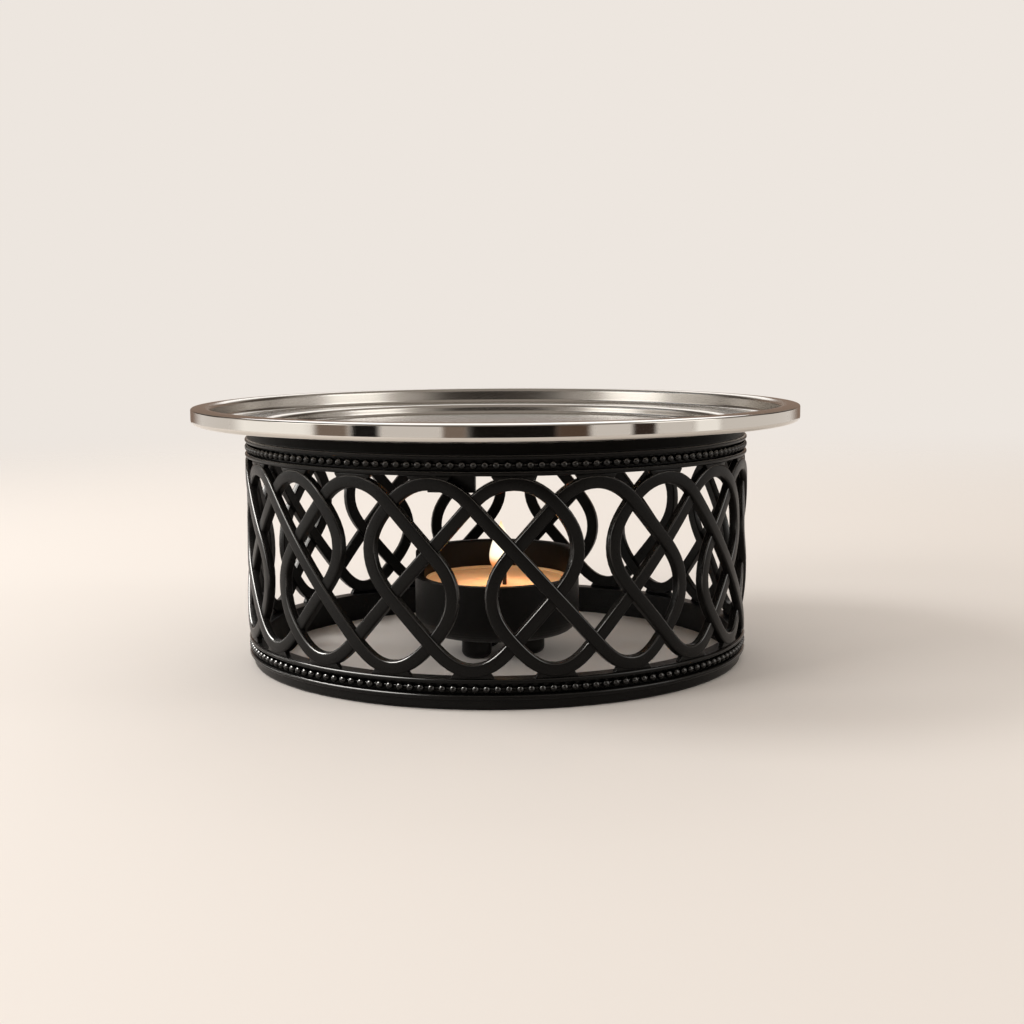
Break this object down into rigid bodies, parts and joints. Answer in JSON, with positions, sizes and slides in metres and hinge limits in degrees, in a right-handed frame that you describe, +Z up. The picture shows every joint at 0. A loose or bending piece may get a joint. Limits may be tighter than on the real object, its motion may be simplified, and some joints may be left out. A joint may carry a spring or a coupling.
{
  "type": "teapot warmer",
  "caption": "Round teapot warmer: black interlaced fretwork stand with beaded rings, a lift-off steel tray on top and a footed candle cup with a tealight inside.",
  "frame": {"origin": "on the table, at the axis of the stand", "axes": "+Z up along the axis of the stand, -Y towards the front that the picture shows"},
  "size_m": [0.1572, 0.1572, 0.0664],
  "materials": {
    "stainless_steel": "polished rim and ledge, satin well",
    "black_iron": "satin black, fine cast grain",
    "cup_iron": "smooth satin black",
    "wax": "ivory paraffin wax, molten at the top",
    "wick": "charred braided cotton",
    "tinplate": "bright tinplate"
  },
  "bodies": {
    "cup": {"candle_cup": "cup_iron", "cup_feet": "cup_iron"},
    "stand": {"top_ring": "black_iron", "top_bead_wire": "black_iron", "fretwork": "black_iron", "tray_lugs": "black_iron", "base_ring": "black_iron", "base_bead_wire": "black_iron"},
    "serving_tray": {"tray": "stainless_steel"},
    "tealight": {"wax": "wax", "wick": "wick", "wick_holder": "tinplate"}
  },
  "joints": [
    {"name": "stand_lift", "type": "slide", "parent": "cup", "child": "stand", "axis": [0, 0, 1], "range_m": [0, 0.045]},
    {"name": "tray_lift", "type": "slide", "parent": "stand", "child": "serving_tray", "axis": [0, 0, 1], "range_m": [0, 0.03]},
    {"name": "tealight_lift", "type": "slide", "parent": "cup", "child": "tealight", "axis": [0, 0, 1], "range_m": [0, 0.022]}
  ]
}
